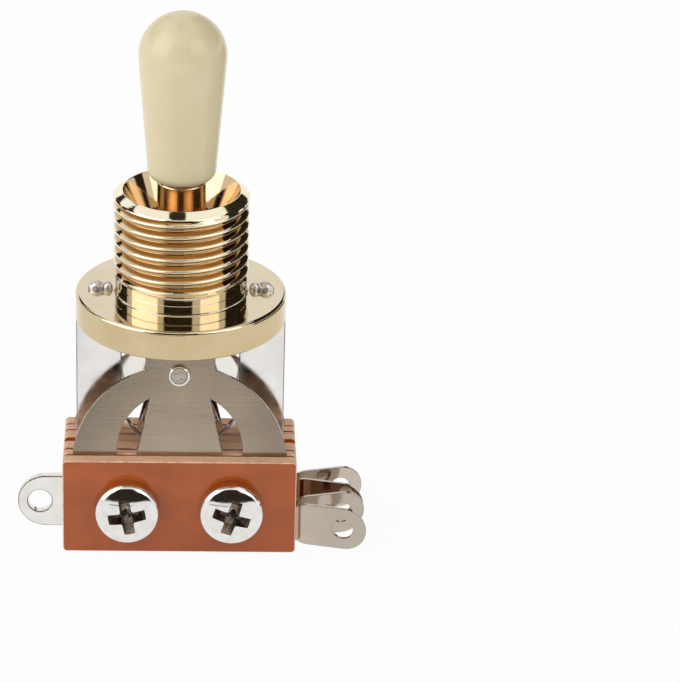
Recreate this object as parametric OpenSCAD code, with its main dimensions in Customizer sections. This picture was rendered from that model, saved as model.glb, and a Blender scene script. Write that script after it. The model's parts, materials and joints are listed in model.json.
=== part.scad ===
// Straight three-position panel toggle switch. A hinged lever in a threaded bushing swings a cam
// between two pairs of contact leaves, which two screws clamp in a stack of insulating wafers.
// The origin is on the bushing's axis at the top face of its flange. +Z points along the lever
// to the tip, -Y is the side of the screw heads, and +X is the side of the four contact lugs.

/* [Toggle] */
// Radius of the tip's round end
tip_r = 3.83; // [3.6:0.01:4]
// Radius of the tip at its lower end
tip_base_r = 3; // [2.9:0.05:3.2]
// Radius of the rounding round the tip's lower end
tip_edge_r = 0.9; // [0.5:0.1:1]
// Height of the tip's lower end above the flange
tip_base_z = 10.6; // [10.6:0.1:11.4]
// Length of the tip
tip_len = 15.1; // [13:0.1:17]
// Diameter of the lever's shank
shank_d = 4.2; // [3.6:0.1:4.2]
// Diameter of the lever's stud inside the tip
stud_d = 2.6; // [2:0.1:3]
// Length of the lever's stud inside the tip
stud_len = 6.2; // [4:0.1:7]
// Depth of the pivot pin's axis below the flange's top face
pivot_depth = 1.8; // [1.75:0.01:1.8]
// Diameter of the pivot pin
pin_d = 1.8; // [1.6:0.1:1.8]
// Length of the pivot pin
pin_len = 11.4; // [11:0.1:11.4]
// Diameter of the insulating cam on the lever's lower end
cam_d = 3; // [2.6:0.1:3]
// Length of the cam
cam_len = 7; // [5:0.1:7.4]
// Depth of the cam's axis below the flange's top face
cam_depth = 4.55; // [4.5:0.01:4.6]

/* [Bushing] */
// Outer diameter of the barrel, over the thread
barrel_d = 11.9; // [11.6:0.1:12]
// Height of the barrel above the flange
barrel_h = 9.5; // [9:0.1:9.6]
// Height of the chamfer round the barrel's top
barrel_chamfer_h = 0.6; // [0.3:0.1:0.6]
// Width of the flat lip between the chamfer and the funnel
lip_w = 0.08; // [0.04:0.02:0.2]
// Diameter of the funnel at the barrel's top
mouth_d = 10.24; // [10.1:0.02:10.4]
// Depth of the funnel
mouth_depth = 3; // [2.6:0.1:3]
// Diameter of the bore below the funnel
bore_d = 7.6; // [7.6:0.1:7.8]
// Diameter of the flange
flange_d = 18.56; // [18.5:0.02:19.5]
// Thickness of the flange
flange_t = 2.73; // [2.71:0.01:2.8]
// Radius of the rounding on the flange's edges
flange_edge_r = 0.3; // [0.1:0.05:0.5]

/* [Frame] */
// Thickness of the frame's sheet
frame_t = 0.8; // [0.6:0.1:1]
// Width over the frame's two arms
frame_w = 18.5; // [18.3:0.1:18.5]
// Width of the gap between the arms
notch_w = 10.44; // [10.2:0.02:10.6]
// Depth of the centre of the notch's round end below the flange's top face
notch_depth = 10.4; // [10:0.1:11]
// Depth of the frame's lower edge below the flange's top face
frame_depth = 23.4; // [23.2:0.1:23.7]
// Width of each tenon through the flange
tenon_w = 2; // [1.6:0.1:2]
// Distance of each tenon from the bushing's axis
tenon_x = 7.1; // [7:0.05:7.3]
// Width of the ground lug
ground_w = 5; // [4:0.1:5]
// Distance of the ground lug's end from the bushing's axis
ground_reach = 14.6; // [14:0.1:16]
// Distance of the ground lug's hole from the bushing's axis
ground_hole_x = 12.6; // [12.3:0.1:12.8]
// Diameter of the ground lug's hole
ground_hole_d = 2.16; // [1.8:0.02:2.4]

/* [Stack] */
// Length of the insulating blocks and wafers
stack_w = 20.8; // [20:0.1:22]
// Height of the insulating blocks and wafers
stack_h = 9; // [8.9:0.1:9.4]
// Depth of the stack's upper face below the flange's top face
stack_depth = 14.8; // [14.7:0.1:14.9]
// Radius of the corners of the blocks and wafers
stack_corner_r = 0.4; // [0.2:0.1:0.8]
// Thickness of the front and rear blocks
block_t = 1.25; // [1.2:0.05:1.6]
// Thickness of the wafers between the leaves
wafer_outer_t = 0.9; // [0.9:0.05:1.1]
// Thickness of the wafers beside the frame
wafer_inner_t = 1.35; // [1.3:0.05:1.5]
// Distance of each screw from the bushing's axis
screw_x = 4.65; // [4.5:0.05:5]
// Depth of the screws' axes below the flange's top face
screw_depth = 19.5; // [19.1:0.1:19.6]
// Diameter of the screws
screw_d = 3; // [2.8:0.1:3]
// Diameter of the screw heads
screw_head_d = 5.76; // [5:0.02:6]
// Height of the screw heads
screw_head_h = 1.9; // [1.6:0.1:2.2]
// Width of the nuts across their flats
nut_w = 5.5; // [5:0.1:5.6]
// Thickness of the nuts
nut_t = 2.4; // [1.8:0.1:2.6]
// Length of the screws' ends behind the nuts
screw_end = 0.6; // [0.2:0.1:2]
// Outer diameter of the insulating sleeves round the screws
sleeve_d = 4.2; // [3.8:0.1:4.2]

/* [Contact leaves] */
// Thickness of the leaves
leaf_t = 0.3; // [0.2:0.05:0.3]
// Inner radius of the leaves' bends
bend_r = 0.5; // [0.3:0.1:0.8]
// Angle by which the outer leaves lean inward
outer_lean = 4.8; // [4.6:0.1:4.8]
// Angle by which the inner leaves lean inward
inner_lean = 3.7; // [3.7:0.05:3.8]
// Radius of the arch of the outer leaves
arch_r = 9.6; // [9.4:0.05:9.8]
// Depth of the arch's centre below the flange's top face
arch_depth = 15.8; // [15.7:0.05:15.9]
// Radius of the arch's inner edge
window_r = 5.6; // [5.4:0.05:5.8]
// Depth of the centre of the arch's inner edge below the flange's top face
window_depth = 14.3; // [14.2:0.05:14.4]
// Width of the outer leaves' tongue at its upper end
tongue_top_w = 4.8; // [4:0.1:5]
// Width of the outer leaves' tongue where it leaves the stack
tongue_base_w = 8.2; // [7.8:0.1:8.6]
// Width of the outer leaves' tab behind the flange
tab_w = 6.18; // [5.6:0.02:6.2]
// Depth of the tab's upper edge below the flange's top face
tab_depth = 3.3; // [3.2:0.1:4]
// Width of the inner leaves' head
head_w = 3.6; // [3.2:0.1:4]
// Depth of the inner leaves' upper edge below the flange's top face
head_depth = 6.3; // [6.3:0.1:6.6]
// Width of the inner leaves where they leave the stack
inner_base_w = 8.4; // [7.6:0.1:8.6]
// Depth of the contacts below the flange's top face
contact_depth = 7.45; // [7.4:0.05:7.5]
// Diameter of the contacts' outer heads
contact_d = 2; // [1.6:0.1:2]

/* [Solder lugs] */
// Width of the contact lugs
lug_w = 4; // [3.6:0.1:4]
// Depth of the contact lugs' middle below the flange's top face
lug_depth = 21.5; // [21.5:0.1:21.7]
// Length of the contact lugs from their bend to their end
lug_len = 6.1; // [5:0.1:7]
// Distance of the lugs' holes from their ends
lug_hole_in = 2.1; // [1.8:0.1:2.6]
// Diameter of the lugs' holes
lug_hole_d = 1.9; // [1.6:0.1:2.1]
// Angle by which the outer lugs bend away from the frame
outer_lug_turn = 14; // [8:1:16]
// Angle by which the inner lugs bend towards the frame
inner_lug_turn = 14; // [8:1:14]

/* [Hidden] */
$fn = 48;

// Colours of the finishes
cream = "#E2D8B6";
gold = "#CDAE78";
nickel = "#DCDBD6";
spring_nickel = "#B4A58F";
phenolic = "#A65C3F";
insulator = "#D9CDB8";

// Small gaps and overlaps
slack = 0.02;   // round the pressed pin, the studs and the nuts' threads
sleeve_gap = 0.05; // between the screw, its sleeve and the holes of the stack
cut = 1;        // by which a cutter stands past the face that it cuts

// Heights along the lever
tip_top_z = tip_base_z + tip_len;
ball_z = tip_top_z - tip_r;
pivot_z = -pivot_depth;
cam_z = -cam_depth;
lever_foot_z = cam_z + cam_d / 2;
foot_end_z = cam_z - cam_d / 2 + 0.2;
foot_r = 0.8;
pin_slot_w = pin_d + 2 * slack;
pin_slot_len = pin_len + 0.1;

// Heights of the frame and the stack
notch_r = notch_w / 2;
notch_z = -notch_depth;
frame_z = -frame_depth;
stack_z = -stack_depth;
screw_z = -screw_depth;
screw_hole_r = screw_d / 2 + sleeve_gap;
sleeve_hole_r = sleeve_d / 2 + sleeve_gap;

// Faces of the layers, counted from the middle of the frame towards the rear
inner_leaf_y = frame_t / 2 + wafer_inner_t;
wafer_outer_y = inner_leaf_y + leaf_t;
outer_leaf_y = wafer_outer_y + wafer_outer_t;
block_y = outer_leaf_y + leaf_t;
stack_y = block_y + block_t;

// Where the leaves bend, and what they measure there
bend_z = stack_z + 0.1;
leaf_foot_x = arch_r - 0.1;
tongue_x = tongue_base_w / 2;
leaf_foot_z = -lug_depth - lug_w / 2;
lug_bend_x = stack_w / 2 + 0.2;
bend_steps = 2;
contact_z = -contact_depth;
contact_rivet_r = 0.6;

// Rear copy of a piece of the front half
module rear() {
    mirror([0, 1, 0]) children();
}

// Right and left copies of a shape
module both_sides() {
    children();
    mirror([1, 0, 0]) children();
}

// Plate in the XZ plane whose outline is drawn with x across and z up, from y to y + t
module plate(y, t) {
    translate([0, y + t, 0]) rotate([90, 0, 0]) linear_extrude(t) children();
}

// Rectangle between two corners
module box_2d(low, high) {
    translate(low) square(high - low);
}

// Rectangle with round corners between two corners
module round_box_2d(low, high, r) {
    box_2d(low + [r, 0], high - [r, 0]);
    box_2d(low + [0, r], high - [0, r]);
    for (x = [low[0] + r, high[0] - r], z = [low[1] + r, high[1] - r])
        translate([x, z]) circle(r);
}

// Round bar along Y between two faces
module bar_y(r, y0, y1) {
    translate([0, y1, 0]) rotate([90, 0, 0]) cylinder(r = r, h = y1 - y0);
}

// Moulded tip: a ball end on a slight taper, with a hole for the lever's stud
module tip() {
    color(cream) difference() {
        rotate_extrude() intersection() {
            box_2d([0, tip_base_z], [tip_r, tip_top_z]);
            union() {
                translate([0, ball_z]) circle(tip_r);
                polygon([[0, tip_base_z], [tip_base_r - tip_edge_r, tip_base_z],
                    [tip_base_r, tip_base_z + tip_edge_r], [tip_r, ball_z], [0, ball_z]]);
                translate([tip_base_r - tip_edge_r, tip_base_z + tip_edge_r]) circle(tip_edge_r);
            }
        }
        translate([0, 0, tip_base_z - cut])
            cylinder(d = stud_d + 2 * slack, h = stud_len + 0.2 + cut);
    }
}

// Turned lever: stud, chamfered shank, and a slim foot that carries the cam
module lever() {
    color(gold) difference() {
        rotate_extrude() polygon([
            [0, foot_end_z], [foot_r, foot_end_z], [foot_r, lever_foot_z],
            [shank_d / 2 - 0.3, lever_foot_z], [shank_d / 2, lever_foot_z + 0.3],
            [shank_d / 2, tip_base_z - 0.3], [shank_d / 2 - 0.25, tip_base_z],
            [stud_d / 2, tip_base_z],
            [stud_d / 2, tip_base_z + stud_len - 0.3], [stud_d / 2 - 0.3, tip_base_z + stud_len],
            [0, tip_base_z + stud_len]]);
        translate([0, 0, pivot_z]) rotate([0, 90, 0])
            cylinder(d = pin_d + 2 * slack, h = shank_d + 2 * cut, center = true);
    }
}

// Pin on which the lever swings, pressed through its shank
module pivot_pin() {
    color(nickel) translate([0, 0, pivot_z]) rotate([0, 90, 0])
        cylinder(d = pin_d, h = pin_len, center = true);
}

// Insulating cam: a round bar across the lever's foot, between the leaves' tabs
module cam() {
    color(insulator) difference() {
        translate([0, 0, cam_z]) rotate([0, 90, 0]) rotate_extrude() intersection() {
            box_2d([0, -cam_len / 2], [cam_d / 2, cam_len / 2]);
            polygon([[0, -cam_len / 2], [cam_d / 2 - 0.3, -cam_len / 2],
                [cam_d / 2, -cam_len / 2 + 0.3], [cam_d / 2, cam_len / 2 - 0.3],
                [cam_d / 2 - 0.3, cam_len / 2], [0, cam_len / 2]]);
        }
        translate([0, 0, cam_z - cam_d]) cylinder(r = foot_r + slack, h = 2 * cam_d);
    }
}

// Turned bushing: flange, barrel for the thread, funnel and bore, with a slot below for the pin
module bushing() {
    edge = flange_edge_r;
    color(gold) difference() {
        rotate_extrude() difference() {
            union() {
                box_2d([0, -flange_t], [flange_d / 2 - edge, 0]);
                box_2d([0, edge - flange_t], [flange_d / 2, -edge]);
                for (z = [-edge, edge - flange_t])
                    translate([flange_d / 2 - edge, z]) circle(edge);
                polygon([[0, 0], [barrel_d / 2, 0], [barrel_d / 2, barrel_h - barrel_chamfer_h],
                    [mouth_d / 2 + lip_w, barrel_h], [0, barrel_h]]);
            }
            polygon([[-cut, -flange_t - cut], [bore_d / 2, -flange_t - cut],
                [bore_d / 2, barrel_h - mouth_depth], [mouth_d / 2, barrel_h],
                [mouth_d / 2, barrel_h + cut], [-cut, barrel_h + cut]]);
        }
        translate([0, 0, pivot_z]) rotate([0, 90, 0])
            cylinder(d = pin_slot_w, h = pin_slot_len, center = true);
        translate([-pin_slot_len / 2, -pin_slot_w / 2, pivot_z - flange_t])
            cube([pin_slot_len, pin_slot_w, flange_t]);
        both_sides() translate([tenon_x - tenon_w / 2, -frame_t / 2, -flange_t - cut])
            cube([tenon_w, frame_t, flange_t + 2 * cut]);
    }
}

// Flat U-shaped frame with two tenons, flush in the flange, and the ground lug: one stamping
module frame() {
    lug_r = ground_w / 2;
    lug_z = frame_z + lug_r;
    arm_x = frame_w / 2;
    tenon_in = tenon_x - tenon_w / 2;
    tenon_out = tenon_x + tenon_w / 2;
    color(nickel) plate(-frame_t / 2, frame_t) difference() {
        union() {
            polygon([[lug_r - ground_reach, frame_z], [arm_x, frame_z], [arm_x, -flange_t],
                [tenon_out, -flange_t], [tenon_out, 0], [tenon_in, 0], [tenon_in, -flange_t],
                [-tenon_in, -flange_t], [-tenon_in, 0], [-tenon_out, 0], [-tenon_out, -flange_t],
                [-arm_x, -flange_t], [-arm_x, frame_z + ground_w],
                [lug_r - ground_reach, frame_z + ground_w]]);
            translate([lug_r - ground_reach, lug_z]) circle(lug_r);
        }
        box_2d([-notch_r, notch_z], [notch_r, cut - flange_t]);
        translate([0, notch_z]) circle(notch_r);
        both_sides() translate([screw_x, screw_z]) circle(sleeve_hole_r);
        translate([-ground_hole_x, lug_z]) circle(d = ground_hole_d);
    }
}

// Insulating layer of the stack from y to y + t, with two screw holes of radius hole_r
module stack_layer(y, t, hole_r) {
    color(phenolic) plate(y, t) difference() {
        round_box_2d([-stack_w / 2, stack_z - stack_h], [stack_w / 2, stack_z], stack_corner_r);
        both_sides() translate([screw_x, screw_z]) circle(hole_r);
    }
}

module rear_block() { stack_layer(block_y, block_t, screw_hole_r); }
module front_block() { rear() rear_block(); }
module wafer_rear_outer() { stack_layer(wafer_outer_y, wafer_outer_t, sleeve_hole_r); }
module wafer_front_outer() { rear() wafer_rear_outer(); }
module wafer_rear_inner() { stack_layer(frame_t / 2, wafer_inner_t, sleeve_hole_r); }
module wafer_front_inner() { rear() wafer_rear_inner(); }

// Turns what is drawn on an upright leaf to the leaf's lean, about the centre of its bend
module lean(y, angle) {
    translate([0, y - bend_r, bend_z]) rotate([angle, 0, 0])
        translate([0, bend_r - y, -bend_z]) children();
}

// Outline of a sheet seen on its edge: straight along x from -before to 0, bent towards +y by an
// angle, and straight on. Its outer face is at y = 0 before the bend
function bent_outline(before, angle, after) = concat(
    [[-before, 0]], bend_face(bend_r + leaf_t, angle, after),
    reverse_list(concat([[-before, leaf_t]], bend_face(bend_r, angle, after))));

// Points of one face of the bend at a radius, and of the straight part that follows
function bend_face(r, angle, after) = concat(
    [for (i = [0:bend_steps]) let(a = angle * i / bend_steps)
        [r * sin(a), bend_r + leaf_t - r * cos(a)]],
    [[r * sin(angle) + after * cos(angle), bend_r + leaf_t - r * cos(angle) + after * sin(angle)]]);

function reverse_list(points) = [for (i = [len(points) - 1:-1:0]) points[i]];

// Leaning sheet of a leaf, from its foot in the stack to its upper end, as wide as the stack
module leaf_sheet(y, angle, top_z) {
    points = bent_outline(bend_z - leaf_foot_z, angle, top_z - bend_z);
    translate([-stack_w / 2, 0, 0]) rotate([90, 0, 90]) linear_extrude(stack_w)
        polygon([for (p = points) [y + leaf_t - p[1], bend_z + p[0]]]);
}

// Solder lug at the end of a leaf, turned by an angle away from the plane y = 0
module solder_lug(angle) {
    hole_x = lug_len - lug_hole_in;
    difference() {
        intersection() {
            translate([lug_bend_x, 0, leaf_foot_z]) linear_extrude(lug_w)
                polygon(bent_outline(cut, angle, lug_len + cut));
            plate(-cut, lug_len) round_box_2d([lug_bend_x - cut, leaf_foot_z],
                [lug_bend_x + lug_len, leaf_foot_z + lug_w], lug_w / 2 - slack);
        }
        translate([lug_bend_x, bend_r + leaf_t, -lug_depth]) rotate([0, 0, angle])
            translate([hole_x, 0, 0]) bar_y(lug_hole_d / 2, -bend_r - leaf_t - cut, cut - bend_r);
    }
}

// Leaf whose sheet is cut to the outline drawn as children, with its rivet hole and screw holes
module leaf(y, angle, top_z) {
    difference() {
        intersection() {
            leaf_sheet(y, angle, top_z);
            plate(-cut, y + 2 * cut) {
                box_2d([-leaf_foot_x, leaf_foot_z], [leaf_foot_x, stack_z - 0.2]);
                box_2d([0, leaf_foot_z], [stack_w / 2, leaf_foot_z + lug_w]);
                children();
            }
        }
        lean(y, angle) translate([0, 0, contact_z])
            bar_y(contact_rivet_r, y - cut, y + cut);
        both_sides() translate([screw_x, 0, screw_z]) bar_y(sleeve_hole_r, y - cut, y + cut);
    }
}

// Outer leaf: an arch on two legs with a tongue inside it and a tab above it
module leaf_rear_outer() {
    color(spring_nickel) {
        leaf(outer_leaf_y, outer_lean, -tab_depth) {
            difference() {
                intersection() {
                    translate([0, -arch_depth]) circle(arch_r, $fn = 96);
                    box_2d([-arch_r, stack_z - cut / 2], [arch_r, 0]);
                }
                translate([0, -window_depth]) circle(window_r);
            }
            polygon([[-tongue_x, stack_z - cut], [tongue_x, stack_z - cut],
                [tongue_top_w / 2, window_r - window_depth + 0.1],
                [-tongue_top_w / 2, window_r - window_depth + 0.1]]);
            round_box_2d([-tab_w / 2, contact_z], [tab_w / 2, -tab_depth], 0.5);
        }
        translate([0, outer_leaf_y, 0]) solder_lug(outer_lug_turn);
    }
}

// Inner leaf: a blade that tapers to a narrow head
module leaf_rear_inner() {
    base_x = inner_base_w / 2;
    head_z = contact_z - contact_d / 2 - 0.2;
    color(spring_nickel) {
        leaf(inner_leaf_y, inner_lean, -head_depth) {
            polygon([[-base_x, stack_z - cut], [base_x, stack_z - cut],
                [head_w / 2, head_z], [-head_w / 2, head_z]]);
            round_box_2d([-head_w / 2, head_z - 1], [head_w / 2, -head_depth], 0.6);
        }
        translate([0, inner_leaf_y + leaf_t, 0]) mirror([0, 1, 0]) solder_lug(inner_lug_turn);
    }
}

module leaf_front_outer() { rear() leaf_rear_outer(); }
module leaf_front_inner() { rear() leaf_rear_inner(); }

// Contact rivet through a leaf, with the heads' heights given away from and towards the frame
module contact(y, angle, outer_h, inner_h) {
    color(nickel) lean(y, angle) translate([0, y, contact_z]) rotate([-90, 0, 0]) {
        cylinder(r = contact_rivet_r, h = leaf_t);
        translate([0, 0, leaf_t]) cylinder(d1 = contact_d, d2 = contact_d * 0.68, h = outer_h);
        translate([0, 0, -inner_h]) cylinder(d1 = contact_d * 0.8, d2 = contact_d, h = inner_h);
    }
}

module contact_rear_outer() { contact(outer_leaf_y, outer_lean, 0.5, 0.36); }
module contact_rear_inner() { contact(inner_leaf_y, inner_lean, 0.36, 0.25); }
module contact_front_outer() { rear() contact_rear_outer(); }
module contact_front_inner() { rear() contact_rear_inner(); }

// Pan-head screw with a cross recess turned by an angle
module screw(recess_turn) {
    head_r = screw_head_d / 2;
    rim = screw_head_h * 0.45;
    recess_w = 0.75;
    recess_len = 3.3;
    recess_h = 1.1;
    color(nickel) translate([0, -stack_y, screw_z]) difference() {
        union() {
            bar_y(screw_d / 2, 0, 2 * stack_y + nut_t + screw_end);
            rotate([90, 0, 0]) rotate_extrude() {
                box_2d([0, 0], [head_r, rim]);
                box_2d([0, 0], [head_r - (screw_head_h - rim), screw_head_h]);
                intersection() {
                    translate([head_r - (screw_head_h - rim), rim])
                        circle(screw_head_h - rim);
                    box_2d([0, 0], [head_r, screw_head_h]);
                }
            }
        }
        rotate([0, recess_turn, 0]) for (turn = [0, 90]) rotate([0, turn, 0])
            translate([-recess_len / 2, -screw_head_h - cut, -recess_w / 2])
                cube([recess_len, recess_h + cut, recess_w]);
    }
}

module screw_left() { translate([-screw_x, 0, 0]) screw(10); }
module screw_right() { translate([screw_x, 0, 0]) screw(-18); }

// Insulating sleeve that keeps a screw clear of the leaves
module sleeve() {
    color(insulator) translate([0, 0, screw_z]) difference() {
        bar_y(sleeve_d / 2, -block_y, block_y);
        bar_y(screw_hole_r, -block_y - cut, block_y + cut);
    }
}

module sleeve_left() { translate([-screw_x, 0, 0]) sleeve(); }
module sleeve_right() { translate([screw_x, 0, 0]) sleeve(); }

// Hexagonal nut with chamfered corners behind the rear block
module nut() {
    corner_r = nut_w / sqrt(3);
    color(nickel) translate([0, stack_y, screw_z]) difference() {
        intersection() {
            translate([0, nut_t, 0]) rotate([90, 0, 0]) cylinder(r = corner_r, h = nut_t, $fn = 6);
            rotate([-90, 0, 0]) rotate_extrude() polygon([[0, 0], [corner_r - 0.3, 0],
                [corner_r, 0.2], [corner_r, nut_t - 0.2], [corner_r - 0.3, nut_t], [0, nut_t]]);
        }
        bar_y(screw_d / 2 + slack, -cut, nut_t + cut);
    }
}

module nut_left() { translate([-screw_x, 0, 0]) nut(); }
module nut_right() { translate([screw_x, 0, 0]) nut(); }

tip();
lever();
pivot_pin();
cam();
bushing();
frame();
front_block();
rear_block();
wafer_front_outer();
wafer_front_inner();
wafer_rear_inner();
wafer_rear_outer();
leaf_front_outer();
leaf_front_inner();
leaf_rear_inner();
leaf_rear_outer();
contact_front_outer();
contact_front_inner();
contact_rear_inner();
contact_rear_outer();
screw_left();
screw_right();
sleeve_left();
sleeve_right();
nut_left();
nut_right();
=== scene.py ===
"""Looks of the panel toggle switch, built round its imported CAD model.

Lengths on the switch are in millimetres here and become metres where a mesh is made. The places
of the camera, lamps and cards are in metres. X points right, -Y to the front and Z up.
"""

import json
import math

import bmesh
import bpy
from mathutils import Matrix, Vector, noise


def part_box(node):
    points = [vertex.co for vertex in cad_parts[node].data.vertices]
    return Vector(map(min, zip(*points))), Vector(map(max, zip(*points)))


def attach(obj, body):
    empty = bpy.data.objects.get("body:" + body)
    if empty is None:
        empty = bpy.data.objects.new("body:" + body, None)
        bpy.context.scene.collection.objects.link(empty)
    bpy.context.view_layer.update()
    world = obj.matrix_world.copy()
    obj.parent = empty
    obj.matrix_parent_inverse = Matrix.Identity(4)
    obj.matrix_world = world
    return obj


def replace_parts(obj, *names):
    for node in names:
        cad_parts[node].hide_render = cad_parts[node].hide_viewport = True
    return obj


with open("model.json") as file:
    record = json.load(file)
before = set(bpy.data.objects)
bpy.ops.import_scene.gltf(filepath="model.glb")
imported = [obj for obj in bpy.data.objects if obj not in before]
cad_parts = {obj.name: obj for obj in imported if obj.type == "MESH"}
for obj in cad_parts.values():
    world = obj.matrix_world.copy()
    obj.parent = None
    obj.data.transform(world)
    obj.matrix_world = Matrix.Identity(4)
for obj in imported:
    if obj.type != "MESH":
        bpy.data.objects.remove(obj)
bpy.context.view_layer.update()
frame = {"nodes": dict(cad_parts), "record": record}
nodes = frame["nodes"]

MM = 0.001
TURN = 2 * math.pi
QUARTER = TURN / 4
TINY = 1e-6


# ---------------------------------------------------------------- measures

def box_mm(node):
    """Lowest and highest corner of a CAD node, in millimetres."""
    low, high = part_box(node)
    return Vector(low) / MM, Vector(high) / MM


bushing_low, bushing_high = box_mm("bushing")
lever_low, lever_high = box_mm("lever")
tip_low, tip_high = box_mm("tip")
screw_low, screw_high = box_mm("screw_right")
pin_low, pin_high = box_mm("pivot_pin")
block_low = box_mm("front_block")[0]

PIVOT_Z = (pin_low.z + pin_high.z) / 2
FLOOR_Z = block_low.z

# Tip and lever
TIP_BASE_R = 3.0
TIP_EDGE_R = 0.9
TIP_ROWS = 14
SHANK_R = 2.1
SHANK_FOOT_Z = PIVOT_Z - 1.25
CAM_STUD_R = 0.8
TIP_STUD_R = 1.3

# Bushing, whose flange's top is at z = 0
FLANGE_R = bushing_high.x
FLANGE_BOTTOM = bushing_low.z
FLANGE_EDGE_R = 0.3
NECK_R = 5.8
NECK_H = 1.75
NECK_LINE = (0.9, 0.05)  # height and depth of a fine turned line
BARREL_R = 5.95
BARREL_TOP = bushing_high.z
CHAMFER_H = 0.6
CHAMFER_Z = BARREL_TOP - CHAMFER_H
LIP_W = 0.08
MOUTH_R = 5.12
MOUTH_DEPTH = 3.0
BORE_R = 3.8
THREAD_PITCH = 1.06
THREAD_DEPTH = 0.58
THREAD_RUNOUT = (0.45, 0.3)  # heights over which it fades into the neck and into the chamfer
PIN_PLAY = (0.02, 0.05)  # of the pin's slot, across and along the pin
SLOT_H = 3.0

# The chamfer's slight crown: share of the way down, and how far it stands out
CHAMFER_CROWN = ((0.04, 0.0), (0.25, 0.04), (0.5, 0.08), (0.7, 0.105), (0.85, 0.1), (0.95, 0.06))

# Half a turn of a thread, from the middle of the root to the crest: share of the pitch, and rise
THREAD_HALF = ((0.0, 0.0), (0.06, 0.002), (0.1, 0.012), (0.13, 0.04), (0.15, 0.08), (0.17, 0.144),
               (0.4, 0.88), (0.42, 0.935), (0.44, 0.97), (0.47, 0.993))
THREAD_TURN = THREAD_HALF + ((0.5, 1.0),) + tuple((1 - t, rise) for t, rise in reversed(THREAD_HALF[1:]))

# Heads of the frame's tenons. A lump: distance from the tenon's middle, offset, half sizes in x, y, z
TENON_X = 7.1
LUMP_NOISE = 0.12  # as a share of a lump's size
LUMP_NOISE_SCALE = 1.1
LUMP_FOOT = -0.1  # a lump is cut off here, as a share of its half height
TENON_LUMPS = ((0.3, -0.04, 0.78, 0.62, 0.74), (-0.62, 0.0, 0.5, 0.56, 0.66), (-0.2, 0.0, 0.66, 0.52, 0.6))

# Screws, along whose axis z = 0 is the front block's face and -z the head's side
SCREW_X = (screw_high.x + screw_low.x) / 2
SCREW_Z = (screw_high.z + screw_low.z) / 2
SCREW_R = 1.5
SCREW_PITCH = 0.5
SCREW_THREAD_L = 4.0
SCREW_THREAD_DEPTH = 0.3
SCREW_END_H = 0.3
SCREW_END_SLOPE = 0.9
HEAD_R = (screw_high.x - screw_low.x) / 2
HEAD_H = block_low.y - screw_low.y
CROWN_R = 6.1
CROWN_EDGE_R = HEAD_R - 0.36
HEAD_EDGE_R = 0.58  # of the round between the crown and the head's side
HEAD_EDGE_DROP = 0.54  # of that round's centre under the crown's edge
HEAD_EDGE_START = -66  # degrees
RECESS_TOP = (1.88, 0.52)  # reach and half width of the cross
RECESS_FLOOR = (1.0, 0.36)
RECESS_DEPTH = 1.1
CUT_OVER = 0.02  # how far the recess's cutters stand out of the head
RECESS_LIMITS = (2.0, -0.7)  # its faces lie within this radius, and nearer the head's top than this height
PIT_SPREAD = 0.2  # how far a pit wall may turn from halfway between two arms, in quarter turns
PIT_STEEP = 0.8  # most that a pit wall faces along the screw
RECESS_TURNS = {"left": 10, "right": -18}
PIT_PROFILE = ((0, 0.0), (1.16, 0.0), (0.62, -1.2), (0.06, -2.1), (0, -2.1))

# Leaves: face of the sheet towards the frame where it bends, and its lean in degrees
BEND_R = 0.5
BEND_Z = -14.7
LEAF_T = 0.3
OUTER_LEAF = (2.95, 4.8)
INNER_LEAF = (1.75, 3.7)

# Contact rivets: heights of the heads on both sides of the leaf, for the outer and the inner leaves
CONTACT_Z = -7.45
OUTER_HEADS = (0.5, 0.36)
INNER_HEADS = (0.36, 0.25)
# The dark ring round the flat is a painted shadow of the flat's rim.
CONTACT_RIM_R = 0.765  # outer radius of the dark rim round the flat
CONTACT_PUSH = (-0.12, 0.34)  # how far the flat sits off centre, along x and upwards

ENDS = (("front", -1), ("rear", 1))


# ---------------------------------------------------------------- mesh tools

def new_object(name, bm, materials=()):
    """Turns a bmesh into an object of the scene."""
    mesh = bpy.data.meshes.new(name)
    bm.to_mesh(mesh)
    bm.free()
    for material in materials:
        mesh.materials.append(material)
    made = bpy.data.objects.new(name, mesh)
    bpy.context.scene.collection.objects.link(made)
    return made


def new_piece(name, bm, materials, body="body", sharp_deg=30):
    """Makes a piece from a bmesh in millimetres, shades it and lets it ride on a body.

    A face's material index picks its material, and the piece is creased where two of them meet.
    """
    for vert in bm.verts:
        vert.co *= MM
    limit = math.radians(sharp_deg)
    bm.normal_update()
    for edge in bm.edges:
        faces = edge.link_faces
        edge.smooth = (len(faces) == 2 and edge.calc_face_angle(0) < limit
                       and faces[0].material_index == faces[1].material_index)
    for face in bm.faces:
        face.smooth = True
    piece = new_object(name, bm, materials)
    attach(piece, body)
    return piece


def along(span, share):
    """Value at a share of the way from one end of a span to the other."""
    return span[0] + (span[1] - span[0]) * share


def held(value):
    """The value, held between 0 and 1."""
    return min(max(value, 0), 1)


def arc(centre, r, start_deg, end_deg, steps):
    """Points on an arc in the plane of a profile, as (radius, height) pairs."""
    points = []
    for i in range(steps + 1):
        a = math.radians(start_deg + (end_deg - start_deg) * i / steps)
        points.append((centre[0] + r * math.cos(a), centre[1] + r * math.sin(a)))
    return points


def crisp(profile, gap=0.03):
    """Adds points near both ends of a profile's long straight parts, so they shade as straight."""
    points = [profile[0]]
    for (r0, z0), (r1, z1) in zip(profile, profile[1:]):
        length = math.hypot(r1 - r0, z1 - z0)
        if length > 4 * gap:
            for share in (gap / length, 1 - gap / length):
                points.append((along((r0, r1), share), along((z0, z1), share)))
        points.append((r1, z1))
    return points


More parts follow.
